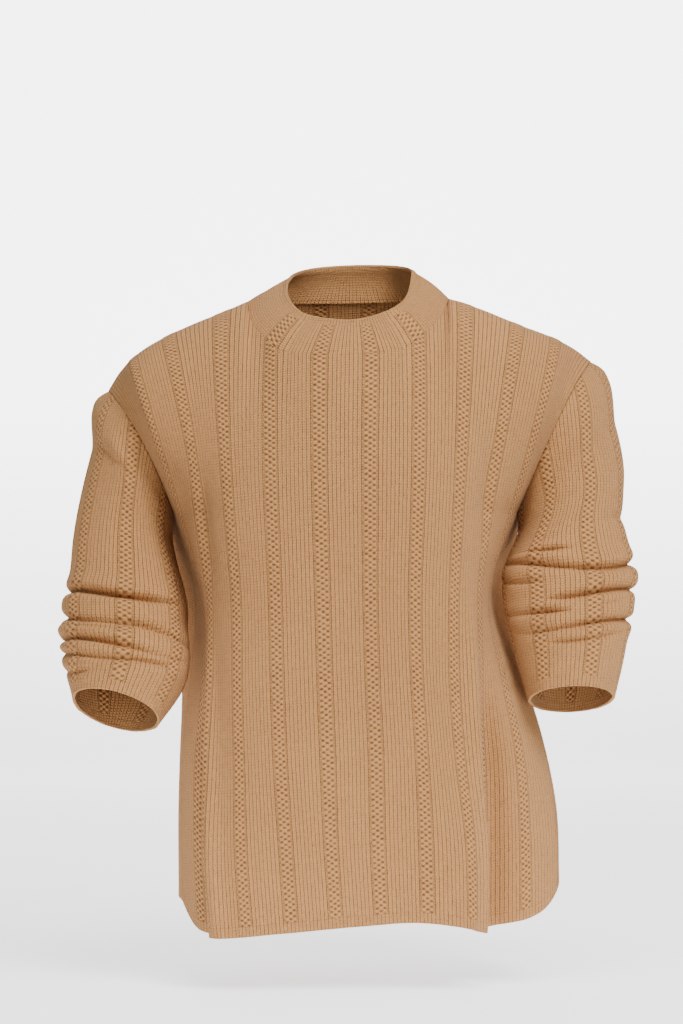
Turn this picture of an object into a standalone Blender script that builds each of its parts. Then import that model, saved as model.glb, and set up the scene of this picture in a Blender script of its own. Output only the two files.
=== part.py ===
"""A pullover with a short funnel collar, worn and hollow: five knitted pieces, joined edge to edge.

Millimetres here, metres in Blender. +Z is up, -Y is the front, and the origin is at the middle of
the shoulders, inside the neck. Each piece is a wall: its outer side has the folds and the raised
moss-stitch columns, and its inner side is plain.
"""

import bmesh
import bpy
import numpy as np

MM = 0.001
WALL = 3.0  # thickness of the knitted cloth
SEAM_GAP = 0.3  # between two pieces at a seam
RAISED = 0.8  # height of a moss-stitch column over the plain knitting

COLUMN_PITCH = 50.0  # from one moss-stitch column to the next
COLUMN_TOP = 5.2  # half the width of a column's raised top
COLUMN_FOOT = 8.2  # half its width where it meets the plain knitting
HALF_PANEL = 275.0  # half the width of the front or the back
HEM = -655.0
UNDERARM = -225.0
BAND = 11.0  # plain band at the hem and the cuffs, where the columns stop
YARN = (0.52, 0.31, 0.16, 1.0)

# Plan of the body. A front line is named by its distance across the cloth from the middle of the
# front. Each level gives how far right and how far back each line lies.
FRONT_LINES = (-275, -225, -175, -125, -75, 0, 75, 125, 175, 225, 275)
BACK_LINES = (200, 100, 0, -100, -200)
LEVELS = (HEM, -570, -480, -400, -320, UNDERARM)
FRONT_PLAN = (
    ((-170, -24), (-151, -68), (-137, -116), (-100, -131), (-54, -131), (14, -127),
     (84, -130), (130, -128), (146, -93), (187, -74), (222, -42)),
    ((-172, -20), (-156, -64), (-141, -112), (-106, -130), (-60, -133), (9, -130),
     (82, -132), (128, -129), (147, -95), (186, -74), (220, -40)),
    ((-170, -18), (-155, -66), (-138, -112), (-108, -131), (-66, -134), (7, -132),
     (78, -134), (117, -130), (145, -102), (180, -80), (204, -42)),
    ((-162, -14), (-148, -62), (-136, -106), (-110, -130), (-69, -135), (4, -134),
     (73, -135), (111, -129), (142, -104), (164, -70), (180, -30)),
    ((-158, -8), (-148, -54), (-139, -98), (-111, -127), (-71, -136), (2, -136),
     (71, -136), (111, -126), (138, -99), (150, -56), (156, -10)),
    ((-182, -2), (-173, -48), (-149, -88), (-119, -118), (-75, -131), (0, -134),
     (74, -131), (116, -118), (149, -88), (174, -48), (183, -2)),
)
BACK_PLAN = (
    ((206, 42), (124, 90), (14, 100), (-98, 90), (-174, 48)),
    ((200, 46), (118, 92), (10, 102), (-96, 92), (-174, 50)),
    ((188, 50), (108, 97), (6, 106), (-96, 96), (-172, 52)),
    ((180, 52), (102, 101), (4, 110), (-98, 100), (-175, 54)),
    ((180, 56), (99, 105), (2, 114), (-97, 104), (-182, 56)),
    ((184, 60), (99, 108), (0, 118), (-99, 108), (-184, 60)),
)

# How far the hem is lifted at lines of the front and the back: right side seam higher.
HEM_LIFT = (
    (-275, -7), (-160, -6), (-90, -1), (0, 6), (70, 10), (125, 3), (150, -2), (200, 4), (275, 26),
    (450, 8), (550, 0), (700, -2),
)

# Where the lines end on the shoulders: line, how far right.
SHOULDER_LINES = (
    (-275, -252), (-225, -226), (-175, -189), (-125, -131), (-104, -104),
    (111, 111), (125, 128), (175, 184), (225, 223), (275, 262),
)
# The shoulder seam: right, up.
SHOULDER_SEAM = (
    (-252, -95), (-241, -77), (-221, -57), (-193, -39), (-168, -27), (-122, -8), (-104, 0),
    (111, 3), (144, -8), (185, -25), (221, -39), (245, -51), (262, -64),
)
SHOULDER_BACK = 8.0  # how far behind the origin the shoulder seam lies
NECK_SIDE_LEAN = 0.9  # how far the wall's edge leans out where the collar meets the shoulder seam
CHEST_RUN = 1.5  # how full the chest and the shoulder blades are, from flat to square
CHEST_EDGE = 50.0  # width at each side of a panel that turns into the armhole
SWELL_EDGE = 175.0  # width at each side that swells round the shoulder
NECK_SEARCH = (0.3, 1.0)  # where on its way up a line can meet the neckline
BROAD = 9.0  # creases at least this wide also show on the upper arm

# The neckline and the collar's edge at the same lines: right, back, up, then the edge's.
FRONT_NECK = (
    (-104, (-104, 8, 0), (-60, 8, 20)),
    (-99, (-99, -32, -22), (-60, -18, 6)),
    (-86, (-86, -60, -41), (-53, -42, -9)),
    (-60, (-60, -90, -61), (-36, -60, -21)),
    (4, (4, -101, -65), (6, -68, -26)),
    (60, (60, -86, -56), (39, -62, -18)),
    (88, (88, -52, -33), (59, -40, -5)),
    (102, (102, -28, -17), (67, -18, 10)),
    (111, (111, 8, 3), (71, 8, 33)),
)
BACK_NECK = (
    (-104, (-104, 8, 0), (-60, 8, 20)),
    (-92, (-92, 40, 4), (-52, 36, 33)),
    (-60, (-60, 62, 6), (-32, 54, 41)),
    (4, (4, 72, 7), (5, 63, 45)),
    (66, (66, 62, 8), (42, 54, 44)),
    (98, (98, 40, 6), (63, 36, 40)),
    (111, (111, 8, 3), (71, 8, 33)),
)

# Soft folds of the body: line at the top and at the hem, level where it begins and ends, height
# (a trough is negative), half width across and the distance over which it fades out.
BODY_FOLDS = (
    (-190, -160, -300, -760, 7.0, 13.0, 160.0),
    (-214, -205, -380, -760, -6.0, 20.0, 120.0),
    (152, 151, -260, -760, 9.0, 12.0, 150.0),
    (180, 186, -330, -760, -7.0, 14.0, 140.0),
    (-186, -200, -150, -330, 4.0, 14.0, 70.0),
    (-166, -168, -170, -340, -3.0, 9.0, 70.0),
    (168, 180, -130, -270, -5.0, 12.0, 60.0),
    (-60, -40, -560, -650, 2.0, 30.0, 40.0),
    (40, 55, -330, -600, 2.0, 26.0, 120.0),
    (430, 400, -120, -620, 5.0, 26.0, 150.0),
    (640, 690, -160, -700, 6.0, 28.0, 160.0),
    (500, 540, -300, -760, -4.0, 24.0, 160.0),
    (745, 760, -200, -700, -5.0, 22.0, 120.0),
)

# Armholes: how far the seam swells to the front and the back, and its run at the shoulder's tip.
ARMHOLE_FRONT = 61.0
ARMHOLE_BACK = 58.0
TIP_RUN = 70.0
UNDERARM_RUN = 190.0
LEAVE_RUN = 60.0  # over this run a sleeve goes over from the armhole's shape to its own

# A sleeve's rings: distance along, outer side right and up, inner side right and up, how far
# back the middle lies, half depth, and how far the ring leans forward in degrees.
LEFT_RINGS = (
    (0, -252, -95, -182, -225, 4, 60, 0),
    (50, -266, -150, -183, -254, 0, 56, 4),
    (100, -279, -205, -177, -280, -8, 50, 9),
    (150, -287, -256, -169, -306, -19, 47, 15),
    (190, -289, -296, -165, -327, -31, 46, 21),
    (230, -292, -332, -164, -354, -44, 44, 26),
    (265, -292, -362, -161, -380, -62, 43, 29),
    (295, -288, -388, -167, -406, -76, 43, 30),
    (330, -281, -420, -191, -441, -88, 43, 30),
)
RIGHT_RINGS = (
    (0, 262, -64, 183, -225, 4, 60, 0),
    (50, 284, -122, 183, -246, 0, 56, 3),
    (100, 295, -176, 177, -262, -7, 50, 6),
    (150, 292, -226, 170, -277, -16, 47, 9),
    (190, 297, -262, 166, -293, -26, 45, 12),
    (230, 302, -296, 166, -320, -38, 43, 15),
    (265, 297, -334, 171, -350, -50, 44, 18),
    (295, 291, -372, 180, -384, -60, 45, 20),
    (330, 279, -419, 190, -421, -70, 45, 20),
)
LEFT_FACING = 90.0  # angle of a column that runs down the middle of the left sleeve's front
RIGHT_FACING = 70.0
SLEEVE_COLUMNS = 7
EVEN_COLUMNS = 1.5  # columns on each side of the facing one that keep their full pitch
WIDEST_PITCH = 66.0  # in degrees
SLEEVE_END = 330.0
BUNCH_BEGINS = 150.0

# A crease is a trough with a ridge above and below it: how far off in half widths, and how high.
RIDGE_OFF = 1.7
RIDGE_ABOVE = 0.65
RIDGE_BELOW = 0.45
CREASE_ENDS = 35.0  # angle over which a crease fades out
INNER_SHARE = 0.4  # how much of the creases shows next to the body

# Creases where the sleeves are pushed up: height at the outer side, the front, the inner side
# and the back, depth, half width, and the angles between which each one shows.
LEFT_CREASES = (
    (-310, -312, -327, -318, 8.0, 6.0, -70, 170),
    (-338, -341, -368, -346, 8.0, 6.5, -110, 190),
    (-341, -351, -362, -350, 4.0, 4.5, -10, 100),
    (-359, -364, -386, -370, 7.0, 6.0, -60, 180),
    (-375, -376, -397, -384, 7.0, 6.0, -100, 160),
    (-391, -388, -400, -398, 4.0, 5.0, -50, 75),
    (-300, -300, -345, -331, 6.0, 6.0, 175, 300),
    (-356, -360, -384, -362, 6.0, 7.0, 190, 330),
    (-105, -152, -222, -170, 5.0, 11.0, 55, 165),
    (-150, -182, -240, -200, 3.0, 12.0, 20, 120),
)
RIGHT_CREASES = (
    (-262, -262, -273, -270, 6.0, 5.0, 75, 200),
    (-281, -283, -281, -284, 9.0, 6.5, -110, 185),
    (-296, -300, -298, -300, 5.0, 5.0, 108, 215),
    (-306, -313, -322, -312, 7.0, 6.0, -80, 130),
    (-316, -324, -330, -326, 4.0, 4.5, 25, 80),
    (-325, -331, -333, -334, 6.0, 5.5, 80, 220),
    (-336, -345, -351, -342, 7.0, 6.0, -100, 175),
    (-350, -357, -370, -360, 5.0, 5.5, 15, 130),
    (-300, -310, -330, -306, 6.0, 7.0, 190, 320),
    (-90, -122, -190, -150, 4.0, 10.0, 60, 150),
    (-232, -240, -262, -246, 5.0, 12.0, -50, 60),
)


def smooth(x):
    x = np.clip(x, 0.0, 1.0)
    return x * x * (3.0 - 2.0 * x)


def through(knots, values, at):
    """A smooth curve through the rows of a table."""
    knots = np.asarray(knots, float)
    values = np.asarray(values, float)
    at = np.atleast_1d(np.asarray(at, float))
    slopes = np.gradient(values, knots, axis=0)
    i = np.clip(np.searchsorted(knots, at) - 1, 0, len(knots) - 2)
    shape = (-1,) + (1,) * (values.ndim - 1)
    step = (knots[i + 1] - knots[i]).reshape(shape)
    t = ((at - knots[i]) / (knots[i + 1] - knots[i])).reshape(shape)
    return (
        (2 * t**3 - 3 * t**2 + 1) * values[i]
        + (t**3 - 2 * t**2 + t) * step * slopes[i]
        + (3 * t**2 - 2 * t**3) * values[i + 1]
        + (t**3 - t**2) * step * slopes[i + 1]
    )


def round_curve(knots, values, period, at):
    """The same through rows that close on themselves."""
    knots = np.asarray(knots, float)
    values = np.asarray(values, float)
    knots = np.concatenate([knots[-2:] - period, knots, knots[:2] + period])
    values = np.concatenate([values[-2:], values, values[:2]])
    at = np.atleast_1d(np.asarray(at, float))
    first = knots[2]
    return through(knots, values, first + np.mod(at - first, period))


def unit(v):
    return v / np.maximum(np.linalg.norm(v, axis=-1, keepdims=True), 1e-9)


ROUND = 4 * HALF_PANEL
ROUND_LINES = list(FRONT_LINES) + [2 * HALF_PANEL - line for line in BACK_LINES]
ROUND_PLAN = np.concatenate([np.array(FRONT_PLAN, float), np.array(BACK_PLAN, float)], axis=1)


def body_ring(lines, level):
    """Right and back of the body's lines at one level."""
    plan = through(LEVELS, ROUND_PLAN, level)[0]
    return round_curve(ROUND_LINES, plan, ROUND, lines)


def hem_lift(lines):
    knots = [row[0] for row in HEM_LIFT]
    lifts = [row[1] for row in HEM_LIFT]
    return round_curve(knots, lifts, ROUND, lines)


def neck_at(lines, neck, which):
    """The neckline (1) or the collar's edge (2) where these lines of the body end."""
    place = np.interp(lines, [row[0] for row in neck], np.arange(len(neck)))
    return through(np.arange(len(neck)), [row[which] for row in neck], place)


def body_folds(round_lines, level):
    """Height of the soft folds at points given by their line and their level."""
    height = np.zeros(np.broadcast(round_lines, level).shape)
    for top_line, hem_line, begin, end, rise, half_width, fade in BODY_FOLDS:
        down = np.clip((UNDERARM - level) / (UNDERARM - HEM), -0.5, 1.2)
        line = top_line + (hem_line - top_line) * down
        off = np.mod(round_lines - line + ROUND / 2, ROUND) - ROUND / 2
        along = smooth((begin - level) / fade) * smooth((level - end) / fade)
        height += rise * along * np.exp(-((off / half_width) ** 2))
    return height


def top_points(lines):
    """Where each line meets the shoulder seam, or its run across the neck between the two."""
    x = np.interp(lines, [r[0] for r in SHOULDER_LINES], [r[1] for r in SHOULDER_LINES])
    z = through([r[0] for r in SHOULDER_SEAM], [r[1] for r in SHOULDER_SEAM], x)
    return np.stack([x, np.full_like(x, SHOULDER_BACK), z], axis=1)


def climb(lines, q, front):
    """Points on the way up from the underarm's level (0) to the top of the shoulders (1)."""
    round_lines = lines if front else 2 * HALF_PANEL - lines
    side = 1.0 if front else -1.0
    foot = body_ring(round_lines, UNDERARM)
    lean = (foot - body_ring(round_lines, UNDERARM - 30.0)) / 30.0
    top = top_points(lines)
    rise = top[:, 2] - UNDERARM
    edge = smooth((np.abs(lines) - HALF_PANEL + CHEST_EDGE) / CHEST_EDGE)
    near = smooth((np.abs(lines) - HALF_PANEL + SWELL_EDGE) / SWELL_EDGE)
    start = CHEST_RUN * rise * (1 - edge) + UNDERARM_RUN * edge
    reach = CHEST_RUN * np.abs(top[:, 1] - foot[:, 1]) * (1 - edge)
    leave = np.stack([lean[:, 0] * start, lean[:, 1] * start, start], axis=1)
    arrive = np.stack([np.sign(lines) * TIP_RUN * edge, side * reach, TIP_RUN * edge], axis=1)
    base = np.concatenate([foot, np.full((len(lines), 1), UNDERARM)], axis=1)
    t = np.broadcast_to(q, lines.shape)[:, None]
    points = (
        (2 * t**3 - 3 * t**2 + 1) * base
        + (t**3 - 2 * t**2 + t) * leave
        + (3 * t**2 - 2 * t**3) * top
        + (t**3 - t**2) * arrive
    )
    swell = ARMHOLE_FRONT if front else ARMHOLE_BACK
    points[:, 1] -= side * swell * near * np.sin(np.pi * np.clip(t[:, 0], 0, 1)) ** 0.8
    return points


def neck_cut(lines, neck, front):
    """How far up each line runs before the neckline, and what is left over to reach it."""
    share = np.ones(len(lines))
    miss = np.zeros((len(lines), 3))
    inside = np.where((lines > neck[0][0]) & (lines < neck[-1][0]))[0]
    if len(inside) == 0:
        return share, miss
    goal = neck_at(lines[inside], neck, 1)
    tries = np.linspace(*NECK_SEARCH, 141)
    ways = np.array([climb(lines[inside], q, front) for q in tries])
    far = np.linalg.norm(ways[:, :, 1:] - goal[None, :, 1:], axis=2)
    best = far.argmin(axis=0)
    share[inside] = tries[best]
    miss[inside] = goal - ways[best, np.arange(len(inside))]
    return share, miss


def panel_base(lines, rows, neck, front):
    """Points of the front or the back before folds. Rows below 0 are levels under the
    underarm, and rows from 0 to 1 go on up to the neckline and the shoulder seam."""
    round_lines = lines if front else 2 * HALF_PANEL - lines
    lift = hem_lift(round_lines)
    points = np.zeros((len(rows), len(lines), 3))
    level = np.zeros((len(rows), len(lines)))
    share, miss = neck_cut(lines, neck, front)
    for j, row in enumerate(rows):
        if row < 0:
            points[j, :, :2] = body_ring(round_lines, row)
            hang = (UNDERARM - row) / (UNDERARM - HEM)
            points[j, :, 2] = row + lift * hang
            level[j] = row
        else:
            points[j] = climb(lines, row * share, front) + miss * smooth(row) ** 2
            level[j] = points[j, :, 2]
    return points, level, round_lines


def normals_of(points, closed=False):
    """Directions square to a grid of points, facing away from its left-handed side."""
    up = np.gradient(points, axis=0)
    if closed:
        around = (np.roll(points, -1, axis=1) - np.roll(points, 1, axis=1)) / 2
    else:
        around = np.gradient(points, axis=1)
    return unit(np.cross(around, up))


def panel(lines, rows, neck, front):
    """The folded surface of the front or the back, without its raised columns."""
    points, level, round_lines = panel_base(lines, rows, neck, front)
    normals = normals_of(points) * (1 if front else -1)
    folds = body_folds(round_lines[None, :], level)
    top_fade = np.array([1.0 if row < 0 else 1.0 - smooth((row - 0.5) / 0.4) for row in rows])
    side_fade = 1.0 - smooth((np.abs(lines) - 255.0) / 20.0)
    upper = np.array([0.0 if row < 0 else 1.0 for row in rows])[:, None]
    fade = top_fade[:, None] * (1 - upper * (1 - side_fade[None, :]))
    points = points + normals * (folds * fade)[..., None]
    return points, normals_of(points) * (1 if front else -1)


def sleeve_angles(facing, columns, girth):
    """Angles of places counted in columns: even on the front, closer on the hidden side."""
    half = SLEEVE_COLUMNS / 2.0
    pitch = min(360.0 * COLUMN_PITCH / girth, WIDEST_PITCH)
    rest = (180.0 - EVEN_COLUMNS * pitch) / (half - EVEN_COLUMNS)
    size = np.abs(columns)
    beyond = np.maximum(size - EVEN_COLUMNS, 0.0)
    angle = np.minimum(size, EVEN_COLUMNS) * pitch + beyond * rest
    return facing + np.sign(columns) * angle


def sleeve_ring(rings, along, angles):
    """Points of one ring. Angle 0 is the outer side, 90 the front, 180 next to the body."""
    row = through([r[0] for r in rings], [r[1:] for r in rings], along)[0]
    outer = np.array([row[0], row[4], row[1]])
    inner = np.array([row[2], row[4], row[3]])
    lean = np.radians(row[6])
    middle = (outer + inner) / 2
    across = (outer - inner) / 2
    deep = row[5] * np.array([0.0, -np.cos(lean), np.sin(lean)])
    a = np.radians(angles)[:, None]
    return middle + np.cos(a) * across + np.sin(a) * deep


def crease_height(creases, angles, z, along):
    """How far in or out the creases push points at these angles and heights."""
    push = np.zeros_like(z)
    for outer, front, inner, back, depth, half_width, begin, end in creases:
        if half_width < BROAD:
            depth = depth * smooth((along - BUNCH_BEGINS + 10.0) / 35.0)
        turned = np.mod(angles - begin, 360.0)
        middle = round_curve((0, 90, 180, 270), (outer, front, inner, back), 360.0, angles)
        span = end - begin
        window = smooth(turned / CREASE_ENDS) * smooth((span - turned) / CREASE_ENDS)
        h = (z - middle) / half_width
        above = RIDGE_ABOVE * np.exp(-((h - RIDGE_OFF) ** 2))
        below = RIDGE_BELOW * np.exp(-((h + RIDGE_OFF) ** 2))
        push += depth * window * (above + below - np.exp(-(h**2)))
    away_from_body = smooth((np.cos(np.radians(angles)) + 1.0) / 0.7)
    return push * (INNER_SHARE + (1.0 - INNER_SHARE) * away_from_body)


def armhole_point(front_edge, back_edge, angles):
    """Points of the armhole seam at angles round the sleeve."""
    turned = np.mod(angles, 360.0)
    q = np.where(turned <= 180.0, 1.0 - turned / 180.0, (turned - 180.0) / 180.0)
    steps = np.linspace(0.0, 1.0, len(front_edge))
    on_front = np.stack([np.interp(q, steps, front_edge[:, k]) for k in range(3)], axis=1)
    on_back = np.stack([np.interp(q, steps, back_edge[:, k]) for k in range(3)], axis=1)
    return np.where((turned <= 180.0)[:, None], on_front, on_back)


def sleeve_surface(rings, creases, facing, edges, columns, alongs):
    """Points and normals of a sleeve below its seam, ring by ring."""
    points, turns = [], []
    for along in alongs:
        probe = sleeve_ring(rings, along, np.arange(0.0, 360.0, 15.0))
        girth = np.linalg.norm(probe - np.roll(probe, 1, axis=0), axis=1).sum()
        angles = sleeve_angles(facing, columns, girth)
        ring = sleeve_ring(rings, along, angles)
        seam = armhole_point(edges[0], edges[1], angles) + leaving(rings, angles) * along
        part = smooth(along / LEAVE_RUN)
        points.append(seam * (1 - part) + ring * part)
        turns.append(angles)
    points = np.array(points)
    turns = np.array(turns)
    side = 1.0 if rings[0][1] < 0 else -1.0
    normals = -side * normals_of(points, closed=True)
    push = np.array([
        crease_height(creases, a, p[:, 2], along) for a, p, along in zip(turns, points, alongs)
    ])
    fade = smooth((np.array(alongs) - 8.0) / 25.0) * smooth((SLEEVE_END - np.array(alongs)) / 14.0)
    points = points + normals * (push * fade[:, None])[..., None]
    return points, -side * normals_of(points, closed=True)


def armhole_way(rings):
    """The way that the sleeve leaves its armhole: square to the armhole, out and down."""
    first = rings[0]
    slope = unit(np.array([first[1] - first[3], 0.0, first[2] - first[4]], float))
    side = np.sign(first[1])
    return np.array([side * slope[2], 0.0, -side * slope[0]])


def leaving(rings, angles):
    """The same at angles round the sleeve, turned straight down near the underarm."""
    under = smooth((-np.cos(np.radians(angles)) - 0.2) / 0.7)[:, None]
    return (1.0 - under) * armhole_way(rings) + under * np.array([0.0, 0.0, -1.0])


def raised(lines, columns):
    """Height of the moss-stitch columns at places across the cloth."""
    off = np.min(np.abs(np.asarray(lines)[:, None] - np.asarray(columns)[None, :]), axis=1)
    return RAISED * smooth((COLUMN_FOOT - off) / (COLUMN_FOOT - COLUMN_TOP))


def strip(a, a_at, b, b_at):
    """Faces between two runs of vertices, matched by their places along the edge."""
    faces, i, j = [], 0, 0
    while i < len(a) - 1 or j < len(b) - 1:
        next_a = a_at[i + 1] if i < len(a) - 1 else np.inf
        next_b = b_at[j + 1] if j < len(b) - 1 else np.inf
        if abs(next_a - next_b) < 1e-6:
            faces.append((a[i], a[i + 1], b[j + 1], b[j]))
            i, j = i + 1, j + 1
        elif next_a < next_b:
            faces.append((a[i], a[i + 1], b[j]))
            i += 1
        else:
            faces.append((a[i], b[j + 1], b[j]))
            j += 1
    return faces


class Wall:
    """Collects the rows of a wall's outer and inner side and closes them into one body."""

    def __init__(self, closed):
        self.closed = closed
        self.points = []
        self.faces = []

    def row(self, points, places):
        start = len(self.points)
        self.points.extend(np.asarray(points) * MM)
        numbers = list(range(start, start + len(points)))
        places = list(places)
        if self.closed:
            numbers.append(numbers[0])
            places.append(places[0] + (SLEEVE_COLUMNS if self.closed == "sleeve" else ROUND))
        return numbers, places

    def side(self, rows):
        for (a, a_at), (b, b_at) in zip(rows, rows[1:]):
            self.faces += strip(a, a_at, b, b_at)

    def close(self, outer, inner):
        self.side(outer)
        self.side(inner)
        for end in (0, -1):
            self.faces += strip(*outer[end], *inner[end])
        if not self.closed:
            for end in (0, -1):
                for (a, _), (b, _), (c, _), (d, _) in zip(outer, outer[1:], inner[1:], inner):
                    self.faces.append((a[end], b[end], c[end], d[end]))

    def object(self, name, collection, material):
        mesh = bpy.data.meshes.new(name)
        work = bmesh.new()
        verts = [work.verts.new(p) for p in self.points]
        for face in self.faces:
            work.faces.new([verts[i] for i in face])
        bmesh.ops.recalc_face_normals(work, faces=work.faces)
        work.to_mesh(mesh)
        work.free()
        mesh.materials.append(material)
        mesh.shade_smooth()
        thing = bpy.data.objects.new(name, mesh)
        collection.objects.link(thing)
        return thing


def knit_material(name):
    material = bpy.data.materials.new(name)
    material.use_nodes = True
    shader = material.node_tree.nodes["Principled BSDF"]
    shader.inputs["Base Color"].default_value = YARN
    shader.inputs["Roughness"].default_value = 0.95
    shader.inputs["Metallic"].default_value = 0.0
    return material


FRONT_COLUMNS = [COLUMN_PITCH * (k + 0.5) for k in range(-5, 5)]
NECK_EXTRAS = [-104.0, -99.5, -93.0, -86.5, 88.0, 97.0, 105.0, 111.0]
GAPS = [-254.0, -200.0, -150.0, -50.0, 0.0, 50.0, 150.0, 200.0, 254.0]
PLAIN_LINES = NECK_EXTRAS + GAPS + [-HALF_PANEL, HALF_PANEL]
OUTER_LINES = np.array(sorted(
    [c + d for c in FRONT_COLUMNS for d in (-COLUMN_FOOT, -COLUMN_TOP, COLUMN_TOP, COLUMN_FOOT)]
    + PLAIN_LINES
))
INNER_LINES = np.array(sorted(FRONT_COLUMNS + PLAIN_LINES))
PANEL_ROWS = (
    [HEM, HEM + BAND, HEM + BAND + 4.0]
    + list(np.linspace(HEM + 42.0, UNDERARM - 28.0, 12))
    + list(np.linspace(0.0, 1.0, 10))
)


def average(a, b):
    return unit(a + b)


def armhole_normals(edge, rings):
    """Directions square to the armhole seam and to the way that the sleeve leaves it."""
    run = unit(np.gradient(edge, axis=0))
    facing = unit(np.cross(run, armhole_way(rings)))
    first = rings[0]
    centre = np.array([(first[1] + first[3]) / 2, first[5], (first[2] + first[4]) / 2])
    outward = np.sign(np.sum(facing * (edge - centre), axis=1, keepdims=True))
    return facing * outward


def panel_surfaces(lines):
    """Front and back with normals that agree along the seams that they share."""
    front, front_normals = panel(lines, PANEL_ROWS, FRONT_NECK, True)
    back, back_normals = panel(lines, PANEL_ROWS, BACK_NECK, False)
    upper = [j for j, row in enumerate(PANEL_ROWS) if row >= 0]
    for column, rings in ((0, LEFT_RINGS), (-1, RIGHT_RINGS)):
        middle = (front[:, column] + back[:, column]) / 2
        for j in range(len(PANEL_ROWS)):
            if j not in upper:
                front[j, column] = back[j, column] = middle[j]
        shared = average(front_normals[:, column], back_normals[:, column])
        front_normals[:, column] = back_normals[:, column] = shared
        for points, normals in ((front, front_normals), (back, back_normals)):
            normals[upper, column] = armhole_normals(points[upper, column], rings)
        ends = average(front_normals[[upper[0], upper[-1]], column],
                       back_normals[[upper[0], upper[-1]], column])
        for points, normals in ((front, front_normals), (back, back_normals)):
            normals[[upper[0], upper[-1]], column] = ends
    shoulders = (lines <= FRONT_NECK[0][0]) | (lines >= FRONT_NECK[-1][0])
    shoulders[[0, -1]] = False
    shared = average(front_normals[-1, shoulders], back_normals[-1, shoulders])
    front_normals[-1, shoulders] = back_normals[-1, shoulders] = shared
    for line in (FRONT_NECK[0][0], FRONT_NECK[-1][0]):
        k = np.argmin(np.abs(lines - line))
        leaning = np.array([np.sign(line) * NECK_SIDE_LEAN, 0.0, 0.0])
        front_normals[-1, k] = back_normals[-1, k] = unit(front_normals[-1, k] + leaning)
    return (front, front_normals), (back, back_normals)


def pulled_in(points, amount):
    """The grid with its edges drawn in by half a seam's gap."""
    drawn = points.copy()
    drawn[:, 0] += amount * unit(points[:, 1] - points[:, 0])
    drawn[:, -1] += amount * unit(points[:, -2] - points[:, -1])
    drawn[-1] += amount * unit(points[-2] - points[-1])
    return drawn


def moved_from_sleeves(points):
    """Armhole edges drawn in against the way that each sleeve leaves."""
    drawn = points.copy()
    upper = [j for j, row in enumerate(PANEL_ROWS) if row >= 0]
    for column, rings in ((0, LEFT_RINGS), (-1, RIGHT_RINGS)):
        drawn[upper, column] -= SEAM_GAP / 2 * armhole_way(rings)
    return drawn


def neck_normals(lines, front_normals, front):
    """Normals of the neckline, halfway between the body's and the collar's."""
    neck = FRONT_NECK if front else BACK_NECK
    low = neck_at(lines, neck, 1)
    high = neck_at(lines, neck, 2)
    run = unit(np.gradient(low, axis=0))
    facing = unit(np.cross(run, high - low)) * (1 if front else -1)
    return average(facing, front_normals)


def build_panel(name, surface, collection):
    """The front or the back, with its raised columns ending above the hem's band."""
    wall = Wall(closed=False)
    sides = {}
    for label, lines in (("outer", OUTER_LINES), ("inner", INNER_LINES)):
        points, normals = surface[label]
        drawn = moved_from_sleeves(pulled_in(points, SEAM_GAP / 2))
        if label == "outer":
            height = raised(lines, FRONT_COLUMNS)
            rows = np.array([1.0 if HEM + BAND < row < PANEL_ROWS[-1] else 0.0 for row in PANEL_ROWS])
            drawn = drawn + normals * (rows[:, None] * height[None, :])[..., None]
        else:
            drawn = drawn - normals * WALL
        sides[label] = [wall.row(row, lines) for row in drawn]
    wall.close(sides["outer"], sides["inner"])
    return wall.object(name, collection, knit_material(name + " knit"))


COLLAR_SHARES = np.array([0.0, 0.2, 0.45, 0.7, 0.92, 1.0])  # of the way up the collar
COLLAR_BULGE = 2.5


def collar_edges(surfaces, label, lines):
    """The neckline, the collar's edge, the neckline's normals and the places of its lines."""
    low, high, roots, places = [], [], [], []
    for front in (True, False):
        neck = FRONT_NECK if front else BACK_NECK
        points, normals = surfaces[front][label]
        if front:
            chosen = np.where((lines >= neck[0][0]) & (lines <= neck[-1][0]))[0]
        else:
            chosen = np.where((lines > neck[0][0]) & (lines < neck[-1][0]))[0][::-1]
        low.append(points[-1, chosen])
        high.append(neck_at(lines[chosen], neck, 2))
        roots.append(normals[-1, chosen])
        places.append(lines[chosen] if front else 2 * HALF_PANEL - lines[chosen])
    return [np.concatenate(runs) for runs in (low, high, roots, places)]


def build_collar(surfaces, collection):
    """The funnel collar, from the neckline up to its edge."""
    wall = Wall(closed="collar")
    sides = {}
    for label, lines in (("outer", OUTER_LINES), ("inner", INNER_LINES)):
        low, high, roots, places = collar_edges(surfaces, label, lines)
        grid = low + (high - low) * COLLAR_SHARES[:, None, None]
        normals = normals_of(grid, closed=True)
        grid += normals * (COLLAR_BULGE * np.sin(np.pi * COLLAR_SHARES))[:, None, None]
        normals[0] = roots
        grid[0] += unit(grid[1] - grid[0]) * SEAM_GAP
        if label == "inner":
            grid -= normals * WALL
        else:
            on_body = np.mod(places + HALF_PANEL, 2 * HALF_PANEL) - HALF_PANEL
            grid[1:-1] += normals[1:-1] * raised(on_body, FRONT_COLUMNS)[:, None]
        sides[label] = [wall.row(ring, places) for ring in grid]
    wall.close(sides["outer"], sides["inner"])
    return wall.object("collar", collection, knit_material("collar knit"))


SLEEVE_FOOT = COLUMN_FOOT / COLUMN_PITCH
SLEEVE_TOP = COLUMN_TOP / COLUMN_PITCH
SLEEVE_ALONGS = np.array(
    [14.0, 34.0, 58.0, 84.0, 110.0, 132.0]
    + list(np.linspace(BUNCH_BEGINS, SLEEVE_END - BAND - 4.0, 23))
    + [SLEEVE_END - BAND, SLEEVE_END]
)


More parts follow.
